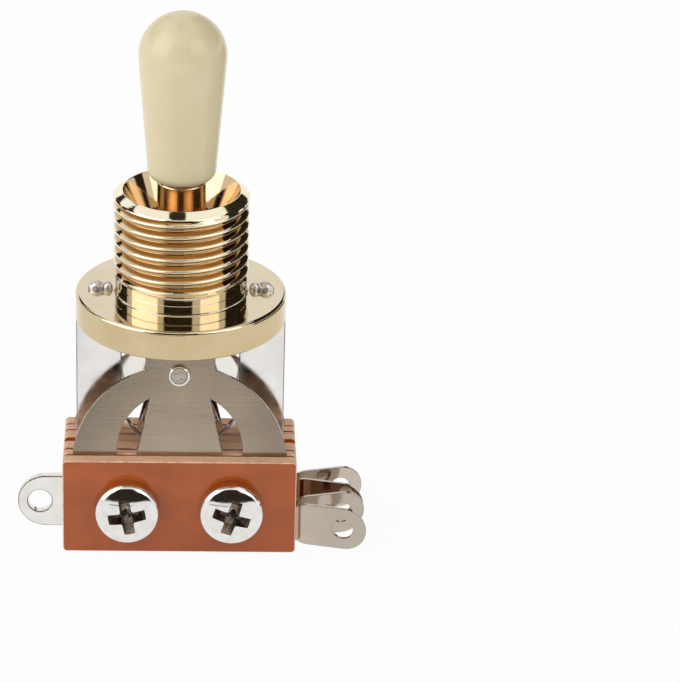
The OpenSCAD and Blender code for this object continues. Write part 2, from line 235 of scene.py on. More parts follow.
def revolve(profile, columns=128):
    """Turns a profile of (radius, height) pairs about Z. It starts and ends on the axis."""
    bm = bmesh.new()
    rings = []
    for r, z in profile:
        if r < TINY:
            rings.append([bm.verts.new((0, 0, z))])
        else:
            angles = [TURN * i / columns for i in range(columns)]
            rings.append([bm.verts.new((r * math.cos(a), r * math.sin(a), z)) for a in angles])
    for a, b in zip(rings, rings[1:]):
        for i in range(columns):
            j = (i + 1) % columns
            corners = []
            for vert in (a[i % len(a)], a[j % len(a)], b[j % len(b)], b[i % len(b)]):
                if vert not in corners:
                    corners.append(vert)
            if len(corners) > 2:
                bm.faces.new(corners)
    bmesh.ops.recalc_face_normals(bm, faces=bm.faces)
    return bm


def threaded(below, above, low, high, pitch, radius_at, columns=192):
    """Turns a closed outline about Z that has a helical thread between two heights.

    below and above are the (radius, height) pairs that follow and precede the thread's lower and
    upper end, and radius_at(height, rise) gives the thread's radius.
    """
    per_turn = len(THREAD_TURN)
    turns = math.ceil((high - low) / pitch) + 1
    bm = bmesh.new()
    strips = []
    for i in range(columns + 1):
        share = i / columns
        a = TURN * share
        points = list(above)
        for k in reversed(range(turns * per_turn + 1)):
            whole, part = divmod(k, per_turn)
            part_of_pitch, rise = THREAD_TURN[part]
            z = min(max(low + (whole - 1 + part_of_pitch + share) * pitch, low), high)
            points.append((radius_at(z, rise), z))
        points += below
        strips.append([bm.verts.new((r * math.cos(a), r * math.sin(a), z)) for r, z in points])
    count = len(strips[0])
    for left, right in zip(strips, strips[1:]):
        for k in range(count):
            m = (k + 1) % count
            bm.faces.new((left[k], left[m], right[m], right[k]))
    bmesh.ops.remove_doubles(bm, verts=bm.verts, dist=1e-5)
    bmesh.ops.dissolve_degenerate(bm, edges=bm.edges, dist=TINY)
    bmesh.ops.recalc_face_normals(bm, faces=bm.faces)
    return bm


def transformed(bm, matrix):
    """The same bmesh, moved."""
    bmesh.ops.transform(bm, matrix=matrix, verts=bm.verts)
    return bm


def loft(low, high, height):
    """Closed solid between two outlines with as many points, at z = -height and z = 0."""
    bm = bmesh.new()
    loops = [[bm.verts.new((x, y, z)) for x, y in outline] for outline, z in ((high, 0), (low, -height))]
    bm.faces.new(loops[0])
    bm.faces.new(reversed(loops[1]))
    count = len(low)
    for i in range(count):
        j = (i + 1) % count
        bm.faces.new((loops[0][i], loops[1][i], loops[1][j], loops[0][j]))
    bmesh.ops.recalc_face_normals(bm, faces=bm.faces)
    return bm


def cross_outline(reach, half_w):
    """Outline of a cross with four equal arms."""
    corner = ((reach, -half_w), (reach, half_w), (half_w, half_w))
    turns = ((1, 0, 0, 1), (0, -1, 1, 0), (-1, 0, 0, -1), (0, 1, -1, 0))
    return [(a * x + b * y, c * x + d * y) for a, b, c, d in turns for x, y in corner]


def rectangle(half_x, half_y):
    """Outline of a rectangle."""
    return [(x * half_x, y * half_y) for x, y in ((-1, -1), (1, -1), (1, 1), (-1, 1))]


def rounded_copy(node, name, materials, edge_width):
    """Piece that stands for a CAD node: the same mesh, with a small rounding along its edges.

    The rounding takes the second material.
    """
    bm = bmesh.new()
    bm.from_mesh(nodes[node].data)
    bmesh.ops.scale(bm, vec=(1 / MM, 1 / MM, 1 / MM), verts=bm.verts)
    bmesh.ops.remove_doubles(bm, verts=bm.verts, dist=1e-4)
    bmesh.ops.dissolve_limit(bm, angle_limit=math.radians(0.5), verts=bm.verts, edges=bm.edges)
    sharp = [edge for edge in bm.edges
             if len(edge.link_faces) == 2 and edge.calc_face_angle(0) > math.radians(40)]
    bmesh.ops.bevel(bm, geom=sharp, offset=edge_width, offset_type="OFFSET", segments=2, profile=0.5,
                    affect="EDGES", clamp_overlap=True, material=1)
    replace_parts(new_piece(name, bm, materials), node)


def carve(bm, cutters):
    """Cuts closed bmeshes out of a bmesh, all in millimetres, and returns the result."""
    target = new_object("carved", bm)
    tools = [new_object("cutter", cutter) for cutter in cutters]
    for tool in tools:
        modifier = target.modifiers.new("cut", "BOOLEAN")
        modifier.operation = "DIFFERENCE"
        modifier.solver = "EXACT"
        modifier.object = tool
    graph = bpy.context.evaluated_depsgraph_get()
    result = bmesh.new()
    result.from_mesh(target.evaluated_get(graph).to_mesh())
    for thing in (target, *tools):
        mesh = thing.data
        bpy.data.objects.remove(thing)
        bpy.data.meshes.remove(mesh)
    return result


# ---------------------------------------------------------------- materials

NOISE_RANGE = (0.3, 0.7)  # where nearly all of a noise texture's values lie


class Finish:
    """A Principled material with the few node recipes that the finishes share."""

    def __init__(self, name, **values):
        self.material = bpy.data.materials.new(name)
        self.material.use_nodes = True
        self.tree = self.material.node_tree
        self.shader = self.tree.nodes["Principled BSDF"]
        for key, value in values.items():
            self.shader.inputs[key.replace("_", " ")].default_value = value

    def node(self, kind, **settings):
        """A new node with the given settings."""
        made = self.tree.nodes.new(kind)
        for key, value in settings.items():
            setattr(made, key, value)
        return made

    def link(self, source, target):
        """Leads an output to an input."""
        self.tree.links.new(source, target)

    def feed(self, target, value):
        """Gives an input either another node's output or a plain value."""
        if isinstance(value, bpy.types.NodeSocket):
            self.link(value, target)
        else:
            target.default_value = value

    def on_part(self, output, scale):
        """A texture coordinate on the part, scaled along each axis."""
        place = self.node("ShaderNodeTexCoord")
        mapping = self.node("ShaderNodeMapping")
        mapping.inputs["Scale"].default_value = scale
        self.link(place.outputs[output], mapping.inputs["Vector"])
        return mapping.outputs["Vector"]

    def grain(self, size, detail=4.0):
        """Noise whose grains measure size (x, y, z) millimetres."""
        cloud = self.node("ShaderNodeTexNoise")
        cloud.inputs["Scale"].default_value = 1.0
        cloud.inputs["Detail"].default_value = detail
        self.link(self.on_part("Object", [1 / (MM * s) for s in size]), cloud.inputs["Vector"])
        return cloud.outputs["Fac"]

    def place_mm(self):
        """The three coordinates of a point on the part, in millimetres."""
        split = self.node("ShaderNodeSeparateXYZ")
        self.link(self.on_part("Object", (1 / MM, 1 / MM, 1 / MM)), split.inputs["Vector"])
        return split.outputs["X"], split.outputs["Y"], split.outputs["Z"]

    def normal_y(self):
        """How far the surface faces front or rear, from -1 to 1."""
        place = self.node("ShaderNodeTexCoord")
        split = self.node("ShaderNodeSeparateXYZ")
        self.link(place.outputs["Normal"], split.inputs["Vector"])
        return split.outputs["Y"]

    def calc(self, operation, *values):
        """Result of a sum on outputs and numbers."""
        made = self.node("ShaderNodeMath", operation=operation)
        for target, value in zip(made.inputs, values):
            self.feed(target, value)
        return made.outputs[0]

    def between(self, source, start, end, low=0.0, high=1.0):
        """low where the source is at start and high where it is at end, held beyond them."""
        ramp = self.node("ShaderNodeMapRange")
        for key, value in (("From Min", start), ("From Max", end), ("To Min", low), ("To Max", high)):
            ramp.inputs[key].default_value = value
        self.link(source, ramp.inputs["Value"])
        return ramp.outputs["Result"]

    def spread(self, source, low, high):
        """Maps noise onto a range of values."""
        return self.between(source, *NOISE_RANGE, low, high)

    def blend(self, share, first, second):
        """Mixes two colours by a share. The node's colours are its inputs 6 and 7."""
        made = self.node("ShaderNodeMix", data_type="RGBA")
        self.link(share, made.inputs[0])
        self.feed(made.inputs[6], first)
        self.feed(made.inputs[7], second)
        return made.outputs[2]

    def mix(self, share, first, second):
        """Mixes two number outputs by a share. The node's numbers are its inputs 2 and 3."""
        made = self.node("ShaderNodeMix")
        self.link(share, made.inputs[0])
        self.link(first, made.inputs[2])
        self.link(second, made.inputs[3])
        return made.outputs[0]

    def paint(self, colour, roughness):
        """Leads a colour and a roughness to the shader."""
        self.link(colour, self.shader.inputs["Base Color"])
        self.link(roughness, self.shader.inputs["Roughness"])

    def bump(self, height, depth):
        """Bump of the given depth in millimetres, laid over any bump already there."""
        made = self.node("ShaderNodeBump")
        made.inputs["Strength"].default_value = 1.0
        made.inputs["Distance"].default_value = depth * MM
        self.link(height, made.inputs["Height"])
        target = self.shader.inputs["Normal"]
        if target.is_linked:
            self.link(target.links[0].from_socket, made.inputs["Normal"])
        self.link(made.outputs["Normal"], target)


def rgb(red, green, blue):
    """Linear colour from the three sRGB values of 0 to 255."""
    def linear(value):
        value /= 255
        return value / 12.92 if value <= 0.04045 else ((value + 0.055) / 1.055) ** 2.4
    return (linear(red), linear(green), linear(blue), 1)


# Where the bushing's gold changes its painted tone, as painted highlight and shade: start and end of each
# change, by height or by radius
SEAT_EDGE_Z = (-0.25, -0.05)
NECK_FOOT_Z = (0.02, 0.06)
NECK_TOP_Z = (1.62, 1.8)
THREAD_END_Z = (BARREL_TOP - 0.55, BARREL_TOP - 0.65)
GROOVE_R = (5.92, 5.7)
FUNNEL_R = (MOUTH_R + 0.06, MOUTH_R)


def gold_finish():
    """Polished gold plating, toned by zone as painted light: palest on the chamfer as painted highlight,
    darker on the flange's side and richer in the thread's grooves and the funnel as painted shade.
    """
    f = Finish("gold_plate", Metallic=1.0)
    tint = f.spread(f.grain((3, 3, 3)), 0, 1)
    x, y, z = f.place_mm()
    radius = f.calc("SQRT", f.calc("ADD", f.calc("MULTIPLY", x, x), f.calc("MULTIPLY", y, y)))
    over_seat = f.between(z, *NECK_FOOT_Z)
    over_neck = f.between(z, *NECK_TOP_Z)
    on_thread = f.calc("MULTIPLY", over_neck, f.between(z, *THREAD_END_Z))
    in_groove = f.calc("MULTIPLY", on_thread, f.between(radius, *GROOVE_R))
    in_funnel = f.calc("MULTIPLY", over_seat, f.between(radius, *FUNNEL_R))

    # Painted light by zone: the flange's side, the grooves and the funnel darker as painted shade, the
    # thread and chamfer paler as painted highlight.
    side = f.blend(tint, rgb(203, 182, 141), rgb(212, 193, 153))
    seat = f.blend(tint, rgb(214, 199, 170), rgb(221, 207, 180))
    neck = f.blend(tint, rgb(208, 193, 164), rgb(216, 203, 176))
    turned = f.blend(tint, rgb(242, 231, 202), rgb(250, 241, 216))
    groove_shade = f.blend(tint, rgb(188, 150, 102), rgb(199, 165, 118))
    funnel = f.blend(tint, rgb(206, 180, 142), rgb(215, 192, 157))
    colour = f.blend(f.between(z, *SEAT_EDGE_Z), side, seat)
    for share, tone in ((over_seat, neck), (over_neck, turned), (in_groove, groove_shade), (in_funnel, funnel)):
        colour = f.blend(share, colour, tone)
    f.paint(colour, f.spread(f.grain((1.5, 1.5, 0.2)), 0.05, 0.10))
    f.bump(f.grain((6, 6, 0.08), detail=2), 0.0008)
    return f.material


def shank_finish():
    """Gold plating of the lever, streaked along its length by drawing and wear."""
    f = Finish("gold_shank", Metallic=1.0)
    streaks = f.spread(f.grain((0.45, 0.45, 9), detail=2), 0, 1)
    f.paint(f.blend(streaks, rgb(222, 186, 142), rgb(238, 214, 180)),
            f.spread(f.grain((0.8, 0.8, 3)), 0.12, 0.2))
    f.bump(streaks, 0.004)
    return f.material


def nickel_finish():
    """Bright nickel plating with soft waviness and fine scratches."""
    f = Finish("nickel_plate", Metallic=1.0)
    tint = f.spread(f.grain((2, 2, 2)), 0, 1)
    f.paint(f.blend(tint, rgb(224, 221, 217), rgb(236, 234, 230)),
            f.spread(f.grain((0.8, 0.8, 0.8)), 0.10, 0.2))
    f.bump(f.grain((1.6, 1.6, 1.6)), 0.004)
    f.bump(f.grain((3, 0.05, 0.05), detail=2), 0.0006)
    return f.material


def worn_or_shaded_finish(name, low, high, roughness=(0.28, 0.45)):
    """Duller metal, as on stamped edges and hammered heads; on edges its darker tone is partly a painted
    dark outline, and in the screws' recesses and round the rivets' flats it is painted shade.
    """
    f = Finish(name, Metallic=1.0)
    patches = f.spread(f.grain((0.3, 0.3, 0.3), detail=5), 0, 1)
    f.paint(f.blend(patches, low, high), f.spread(patches, *roughness))
    f.bump(patches, 0.008)
    return f.material


def chrome_finish():
    """Mirror-bright plating of the screws and nuts."""
    f = Finish("chrome_plate", Metallic=1.0)
    tint = f.spread(f.grain((0.8, 0.8, 0.8)), 0, 1)
    f.paint(f.blend(tint, rgb(221, 218, 213), rgb(236, 234, 230)),
            f.spread(f.grain((0.5, 0.5, 0.5)), 0.04, 0.12))
    f.bump(f.grain((0.7, 0.7, 0.7)), 0.003)
    return f.material


# Tone of the leaves' brushed side by distance from the middle, as painted shade and reflection: tongue,
# arch, legs and lugs
LEAF_TONES = ((0.0, (176, 161, 141)), (4.6, (170, 155, 136)), (8.4, (150, 137, 121)),
              (10.3, (150, 137, 121)), (10.7, (196, 185, 171)), (17.0, (190, 180, 167)))
LUG_ROOT_X = (10.0, 10.4)
LEAF_FOOT_Z = (-12.0, -14.2)


def spring_finish():
    """Nickel-silver spring sheet: brushed along X on its outer side, polished towards the frame, toned by
    place as painted shade and reflection.
    """
    f = Finish("spring_nickel", Metallic=1.0)
    x, y, z = f.place_mm()
    reach = LEAF_TONES[-1][0]
    # The tone by place along the sheet is painted shade and painted reflection.
    tones = f.node("ShaderNodeValToRGB")
    while len(tones.color_ramp.elements) < len(LEAF_TONES):
        tones.color_ramp.elements.new(0.5)
    for element, (distance, tone) in zip(tones.color_ramp.elements, LEAF_TONES):
        element.position = distance / reach
        element.color = rgb(*tone)
    from_middle = f.calc("ABSOLUTE", x)
    f.link(f.between(from_middle, 0, reach), tones.inputs["Fac"])
    streaks = f.spread(f.grain((7, 0.6, 0.06), detail=3), 0, 1)
    patches = f.spread(f.grain((4, 4, 2.5)), 0, 1)
    darker = f.calc("ADD", f.calc("MULTIPLY", streaks, 0.06), f.calc("MULTIPLY", patches, 0.14))
    brushed = f.blend(darker, tones.outputs["Color"], rgb(84, 74, 62))

    outward = f.between(f.calc("MULTIPLY", f.normal_y(), y), -0.1, 0.1)
    # The lugs' darker inner side is painted shade.
    polished = f.blend(f.between(from_middle, *LUG_ROOT_X), rgb(236, 232, 226), rgb(198, 185, 172))
    foot = f.between(z, *LEAF_FOOT_Z)
    rubbed = f.mix(foot, f.spread(streaks, 0.2, 0.32), f.spread(streaks, 0.08, 0.16))
    f.paint(f.blend(outward, polished, brushed), f.mix(outward, f.spread(patches, 0.06, 0.1), rubbed))
    f.bump(f.calc("MULTIPLY", streaks, outward), 0.0012)
    return f.material


def cream_finish():
    """Moulded cream plastic, glossy, with a breath of light under its skin."""
    f = Finish("cream_plastic", IOR=1.5)
    f.shader.inputs["Subsurface Weight"].default_value = 0.12
    f.shader.inputs["Subsurface Scale"].default_value = 1.2 * MM
    f.shader.inputs["Subsurface Radius"].default_value = (1.0, 0.8, 0.5)
    tint = f.spread(f.grain((4, 4, 6), detail=2), 0, 1)
    f.paint(f.blend(tint, rgb(229, 213, 171), rgb(234, 221, 183)),
            f.spread(f.grain((2, 2, 3), detail=1), 0.18, 0.26))
    f.bump(f.grain((3.5, 3.5, 3.5), detail=0), 0.012)
    return f.material


SAWN_FACING = (0.97, 0.75)  # how far a board's surface faces front or rear: on its faces, on its edges


def board_finish():
    """Phenolic board: glossy reddish faces, and lighter fibrous sawn edges."""
    f = Finish("phenolic_board", IOR=1.5)
    is_edge = f.between(f.calc("ABSOLUTE", f.normal_y()), *SAWN_FACING)
    mottle = f.spread(f.grain((3.5, 2, 2.5)), 0, 1)
    face = f.blend(mottle, rgb(168, 80, 27), rgb(186, 92, 36))
    fibre = f.spread(f.grain((0.9, 0.12, 0.5), detail=6), 0, 1)
    rim = f.blend(fibre, rgb(246, 166, 122), rgb(255, 228, 194))
    f.paint(f.blend(is_edge, face, rim),
            f.mix(is_edge, f.spread(mottle, 0.07, 0.13), f.spread(fibre, 0.55, 0.8)))
    f.bump(f.calc("MULTIPLY", fibre, is_edge), 0.08)
    f.bump(f.grain((1.8, 1.8, 1.8)), 0.006)
    return f.material


def board_wear_finish():
    """Chipped corners of the board, where the light core shows through in patches."""
    f = Finish("board_wear", IOR=1.5)
    chips = f.spread(f.grain((0.5, 0.5, 0.5), detail=6), 0, 1)
    f.paint(f.blend(chips, rgb(226, 160, 126), rgb(255, 224, 202)), f.spread(chips, 0.3, 0.7))
    f.bump(chips, 0.03)
    return f.material


def insulator_finish():
    """Satin off-white insulating plastic of the cam and sleeves."""
    f = Finish("insulating_tube")
    tint = f.spread(f.grain((1.5, 1.5, 1.5)), 0, 1)
    f.paint(f.blend(tint, rgb(214, 203, 184), rgb(224, 214, 197)),
            f.spread(f.grain((0.4, 0.4, 0.4)), 0.4, 0.52))
    f.bump(f.grain((0.5, 0.5, 0.5)), 0.005)
    return f.material


gold = gold_finish()
gold_shank = shank_finish()
nickel = nickel_finish()
chrome = chrome_finish()
spring = spring_finish()
cream = cream_finish()
board = board_finish()
board_wear = board_wear_finish()
insulator = insulator_finish()
rivet = worn_or_shaded_finish("rivet_metal", rgb(186, 175, 160), rgb(204, 195, 182), (0.16, 0.24))
# Edge metal of the roundings: rough sheared edges, darker in part as a painted dark outline.
frame_edge = worn_or_shaded_finish("frame_edge", rgb(132, 124, 116), rgb(190, 184, 177))
leaf_edge = worn_or_shaded_finish("leaf_edge", rgb(104, 92, 80), rgb(176, 166, 152))
# Dark metal as painted shade: in the screws' recesses and as a shadow ring round the rivets' flats.
painted_shade_metal = worn_or_shaded_finish("painted_shade_metal", rgb(84, 70, 58), rgb(160, 145, 130))
tenon_metal = worn_or_shaded_finish("tenon_metal", rgb(206, 200, 194), rgb(234, 231, 227), (0.34, 0.48))

CAD_FINISHES = {
    "cream_plastic": cream, "gold_plate": gold, "nickel_plate": nickel,
    "spring_nickel": spring, "phenolic_board": board, "insulating_tube": insulator,
}
for entry in frame["record"]["subparts"]:
    cad_mesh = nodes[entry["node"]].data
    cad_mesh.materials.clear()
    cad_mesh.materials.append(CAD_FINISHES[entry["material_slot"]])


# ---------------------------------------------------------------- tip and lever

def make_tip():
    """Moulded tip with a fine round end and a rounded lower edge."""
    ball_r = tip_high.x
    ball_z = tip_high.z - ball_r
    edge_z = tip_low.z + TIP_EDGE_R
    profile = [(0, tip_low.z)]
    profile += arc((TIP_BASE_R - TIP_EDGE_R, edge_z), TIP_EDGE_R, -90, 0, 10)
    for i in range(1, TIP_ROWS):
        share = i / TIP_ROWS
        profile.append((along((TIP_BASE_R, ball_r), share), along((edge_z, ball_z), share)))
    profile += arc((0, ball_z), ball_r, 0, 90, 28)[:-1]
    profile.append((0, tip_high.z))
    piece = new_piece("tip_cap", revolve(profile), (cream,), "lever", sharp_deg=40)
    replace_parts(piece, "tip")


def make_lever():
    """Turned lever whose shank ends in a bright chamfer under the tip."""
    r = SHANK_R
    foot = SHANK_FOOT_Z
    top = tip_low.z
    profile = [(0, lever_low.z), (CAM_STUD_R, lever_low.z), (CAM_STUD_R, foot), (r - 0.3, foot)]
    profile += [(r, foot + 0.3), (r, top - 0.36), (r - 0.03, top - 0.3), (r - 0.22, top - 0.04)]
    profile += [(r - 0.26, top)]
    profile += [(TIP_STUD_R, top), (TIP_STUD_R, lever_high.z - 0.3), (1.0, lever_high.z), (0, lever_high.z)]
    piece = new_piece("lever_shank", revolve(crisp(profile)), (gold_shank,), "lever")
    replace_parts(piece, "lever")


# ---------------------------------------------------------------- bushing

def barrel_radius(z, rise):
    """The thread, which runs out into the neck below it and under the chamfer above it."""
    full = BARREL_R - THREAD_DEPTH * (1 - rise)
    up = held((z - NECK_H) / THREAD_RUNOUT[0])
    down = held((CHAMFER_Z - z) / THREAD_RUNOUT[1])
    plain = NECK_R if z < (NECK_H + CHAMFER_Z) / 2 else BARREL_R - 0.02
    return along((plain, full), min(up, down))


def make_bushing():
    """Bushing with its helical thread, neck, round-edged flange, funnel and pin slot."""
    funnel_z = BARREL_TOP - MOUTH_DEPTH
    lip_r = MOUTH_R + LIP_W
    above = [(BORE_R, FLANGE_BOTTOM + 0.2), (BORE_R, funnel_z - 0.1), (BORE_R + 0.03, funnel_z + 0.02)]
    above += [(MOUTH_R - 0.02, BARREL_TOP - 0.05), (MOUTH_R + 0.01, BARREL_TOP), (lip_r, BARREL_TOP)]
    for share, crown in CHAMFER_CROWN:
        above.append((along((lip_r, BARREL_R), share) + crown, BARREL_TOP - CHAMFER_H * share))
    line_z, line_depth = NECK_LINE
    below = [(NECK_R + 0.06, NECK_H - 0.04), (NECK_R, NECK_H - 0.12), (NECK_R, line_z + 0.05)]
    below += [(NECK_R - line_depth, line_z), (NECK_R, line_z - 0.05)]
    below += [(NECK_R, 0.12), (NECK_R + 0.04, 0.04), (NECK_R + 0.12, 0)]
    edge_r = FLANGE_R - FLANGE_EDGE_R
    below += arc((edge_r, -FLANGE_EDGE_R), FLANGE_EDGE_R, 90, 0, 6)
    below += arc((edge_r, FLANGE_BOTTOM + FLANGE_EDGE_R), FLANGE_EDGE_R, 0, -90, 6)
    below += [(BORE_R + 0.2, FLANGE_BOTTOM)]
    body = threaded(crisp(below), crisp(above), NECK_H, CHAMFER_Z, THREAD_PITCH, barrel_radius)

    slot_r = (pin_high.z - pin_low.z) / 2 + PIN_PLAY[0]
    slot_x = pin_high.x + PIN_PLAY[1]
    pivot = Matrix.Translation((0, 0, PIVOT_Z))
    slot_round = revolve([(0, -slot_x), (slot_r, -slot_x), (slot_r, slot_x), (0, slot_x)], 48)
    transformed(slot_round, pivot @ Matrix.Rotation(QUARTER, 4, "Y"))
    slot_box = loft(rectangle(slot_x, slot_r), rectangle(slot_x, slot_r), SLOT_H)
    transformed(slot_box, pivot)
    body = carve(body, [slot_round, slot_box])
    piece = new_piece("threaded_bushing", body, (gold,), sharp_deg=35)
    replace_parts(piece, "bushing")


def make_tenon_head(name, side, seed):
    """Hammered head of one of the frame's tenons: a few lumps run together on the flange."""
    bm = bmesh.new()
    for k, (distance, aside, *half) in enumerate(TENON_LUMPS):
        made = bmesh.ops.create_icosphere(bm, subdivisions=5, radius=1)["verts"]
        for vert in made:
            toward = vert.co.normalized()
            spot = toward * LUMP_NOISE_SCALE + Vector((seed, k, 0))
            size = 1 + LUMP_NOISE * noise.fractal(spot, 1.0, 2.0, 2)
            height = max(toward.z, LUMP_FOOT) * half[2]
            vert.co = Vector((toward.x * half[0], toward.y * half[1], height)) * size
            vert.co += Vector((side * (TENON_X + distance), aside, 0))
    new_piece(name, bm, (tenon_metal,), sharp_deg=60)


# ---------------------------------------------------------------- screws and contacts

def crown_z(r):
    """Height of the domed top of a screw's head at a distance from its middle."""
    return CROWN_R - HEAD_H - math.sqrt(CROWN_R ** 2 - r ** 2)


def in_recess(face, turned):
    """Whether a face belongs to the cross of a screw's recess, and not to the head or the pit.

    The walls of the pit are steep, and face between the arms of the cross.
    """
    centre = face.calc_center_median()
    r = math.hypot(centre.x, centre.y)
    across = (math.atan2(face.normal.y, face.normal.x) + turned) / QUARTER % 1
    is_pit = abs(across - 0.5) < PIT_SPREAD and abs(face.normal.z) < PIT_STEEP
    limit_r, limit_z = RECESS_LIMITS
    return r < limit_r and crown_z(r) + 0.02 < centre.z < limit_z and not is_pit


def make_screw(side, sign):
    """Pan-head screw with a deep cross recess, and a thread at its end."""
    length = screw_high.y - block_low.y
    thread_low = length - SCREW_THREAD_L

    def screw_radius(z, rise):
        """Thread with a chamfer at the screw's end."""
        full = SCREW_R - SCREW_THREAD_DEPTH * (1 - rise)
        return min(full, SCREW_R - max(z - (length - SCREW_END_H), 0) * SCREW_END_SLOPE)

    head = []
    for i in range(1, 12):
        r = CROWN_EDGE_R * i / 11
        head.append((r, crown_z(r)))
    edge_centre = (HEAD_R - HEAD_EDGE_R, crown_z(CROWN_EDGE_R) + HEAD_EDGE_DROP)
    head += arc(edge_centre, HEAD_EDGE_R, HEAD_EDGE_START, 0, 9)[1:]
    head += [(HEAD_R, -0.06), (HEAD_R - 0.08, 0)]
    above = [(0.001, length)]
    below = [(SCREW_R, thread_low - 0.1), (SCREW_R, 0)] + head[::-1] + [(0.001, -HEAD_H)]
    body = threaded(below, above, thread_low, length, SCREW_PITCH, screw_radius, columns=96)

    turned = math.radians(RECESS_TURNS[side])
    cross = loft(cross_outline(*RECESS_FLOOR), cross_outline(*RECESS_TOP), RECESS_DEPTH)
    cutters = [cross, revolve(PIT_PROFILE, 4)]
    on_head = Matrix.Translation((0, 0, -HEAD_H - CUT_OVER)) @ Matrix.Rotation(TURN / 2, 4, "X")
    for cutter in cutters:
        transformed(cutter, on_head @ Matrix.Rotation(turned, 4, "Z"))
    body = carve(body, cutters)
    # The cross's faces take the dark metal as painted shade in the recess.
    for face in body.faces:
        face.material_index = 1 if in_recess(face, turned) else 0
    place = Matrix.Translation((sign * SCREW_X, block_low.y, SCREW_Z)) @ Matrix.Rotation(-QUARTER, 4, "X")
    piece = new_piece("pan_screw_" + side, transformed(body, place), (chrome, painted_shade_metal),
                      sharp_deg=35)
    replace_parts(piece, "screw_" + side)


def make_contact(node, side, leaf, heads):
    """Contact rivet: a flat-topped head pushed a little off centre, and a domed one towards the frame."""
    face_y, lean = leaf
    outer_h, inner_h = heads
    top = LEAF_T + outer_h
    profile = [(0, -inner_h), (0.5, -inner_h), (0.72, -inner_h + 0.04), (0.9, -inner_h * 0.6), (0.98, -0.03)]
    profile += [(0.96, 0), (0.6, 0), (0.6, LEAF_T), (0.97, LEAF_T), (1.0, LEAF_T + 0.04)]
    profile += [(0.98, top - 0.24), (0.91, top - 0.13), (0.77, top - 0.06), (0.69, top), (0, top)]
    bm = revolve(crisp(profile, 0.02), 48)
    bm.normal_update()
    # The ring round the flat takes the dark metal as a painted shadow.
    for face in bm.faces:
        centre = face.calc_center_median()
        is_flat = face.normal.z > 0.98
        in_shadow_ring = centre.z > LEAF_T and math.hypot(centre.x, centre.y) < CONTACT_RIM_R
        face.material_index = 0 if is_flat else 2 if in_shadow_ring else 1
    for vert in bm.verts:
        rise = max(vert.co.z - LEAF_T, 0) / outer_h
        vert.co += Vector((CONTACT_PUSH[0] * rise, -side * CONTACT_PUSH[1] * rise, 0))
    place = Matrix.Translation((0, side * (face_y - BEND_R), BEND_Z))
    place @= Matrix.Rotation(side * math.radians(lean), 4, "X")
    place @= Matrix.Translation((0, side * BEND_R, CONTACT_Z - BEND_Z))
    place @= Matrix.Rotation(-side * QUARTER, 4, "X")
    piece = new_piece(node + "_rivet", transformed(bm, place), (rivet, nickel, painted_shade_metal),
                      sharp_deg=50)
    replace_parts(piece, node)


make_tip()
make_lever()
make_bushing()
make_tenon_head("tenon_head_left", -1, 3.1)
make_tenon_head("tenon_head_right", 1, 8.4)
make_screw("left", -1)
make_screw("right", 1)
for layer, leaf, heads in (("outer", OUTER_LEAF, OUTER_HEADS), ("inner", INNER_LEAF, INNER_HEADS)):
    for end, side in ENDS:
        make_contact("contact_%s_%s" % (end, layer), side, leaf, heads)

rounded_copy("frame", "frame_plate", (nickel, frame_edge), 0.1)
for end, side in ENDS:
    rounded_copy(end + "_block", end + "_block_board", (board, board_wear), 0.12)
    for layer in ("outer", "inner"):
        rounded_copy("wafer_%s_%s" % (end, layer), "%s_%s_wafer_board" % (end, layer),
                     (board, board_wear), 0.08)
        rounded_copy("leaf_%s_%s" % (end, layer), "%s_%s_leaf_sheet" % (end, layer),
                     (spring, leaf_edge), 0.05)


# ---------------------------------------------------------------- camera

VIEW_ELEVATION = math.radians(24)
VIEW_ROLL = math.radians(0.46)
CAMERA_DISTANCE = 0.3
SENSOR_MM = 36
LENS_MM = 179.6
SHIFT = (0.2328, -0.0769)  # puts the switch at the picture's left


def make_camera():
    """Camera that looks down on the front of the switch."""
    data = bpy.data.cameras.new("camera")
    data.sensor_width = SENSOR_MM
    data.lens = LENS_MM
    data.shift_x, data.shift_y = SHIFT
    data.clip_start = 0.01
    data.clip_end = 20
    camera = bpy.data.objects.new("camera", data)
    bpy.context.scene.collection.objects.link(camera)
    tilt = Matrix.Rotation(QUARTER - VIEW_ELEVATION, 4, "X") @ Matrix.Rotation(VIEW_ROLL, 4, "Z")
    camera.matrix_world = tilt
    camera.location = tilt.to_3x3() @ Vector((0, 0, CAMERA_DISTANCE))
    bpy.context.scene.camera = camera


# ---------------------------------------------------------------- light and background

WHITE = (1, 1, 1, 1)
SEEN_RAYS = ("Is Camera Ray", "Is Glossy Ray", "Is Transmission Ray")
ROOM_LEVEL = 0.53  # strength of the white room's light on the switch
TABLE_GLOW = 0.94  # how much of the white that rays see on the table is its own
TABLE_SIZE = 6
STUDIO_R = 0.8  # distance of the cards
LAMP_DISTANCE = 0.7
CARD_STEPS = 12
CARD_COLOUR = (0.04, 0.03, 0.022, 1)
CARD_LIFT = 0.2  # of a card that lies on the table, in millimetres


def direction(azimuth, elevation):
    """Unit vector seen from the switch: azimuth 0 is the camera's side, positive to the right."""
    a = math.radians(azimuth)
    e = math.radians(elevation)
    return Vector((math.sin(a) * math.cos(e), -math.cos(a) * math.cos(e), math.sin(e)))


def softbox(name, azimuth, elevation, size, radiance):
    """Rectangular lamp of a given radiance that faces the switch."""
    data = bpy.data.lights.new(name, "AREA")
    data.shape = "RECTANGLE"
    data.size, data.size_y = size
    data.energy = radiance * math.pi * size[0] * size[1]
    lamp = bpy.data.objects.new(name, data)
    bpy.context.scene.collection.objects.link(lamp)
    lamp.location = direction(azimuth, elevation) * LAMP_DISTANCE
    lamp.rotation_euler = lamp.location.to_track_quat("Z", "Y").to_euler()


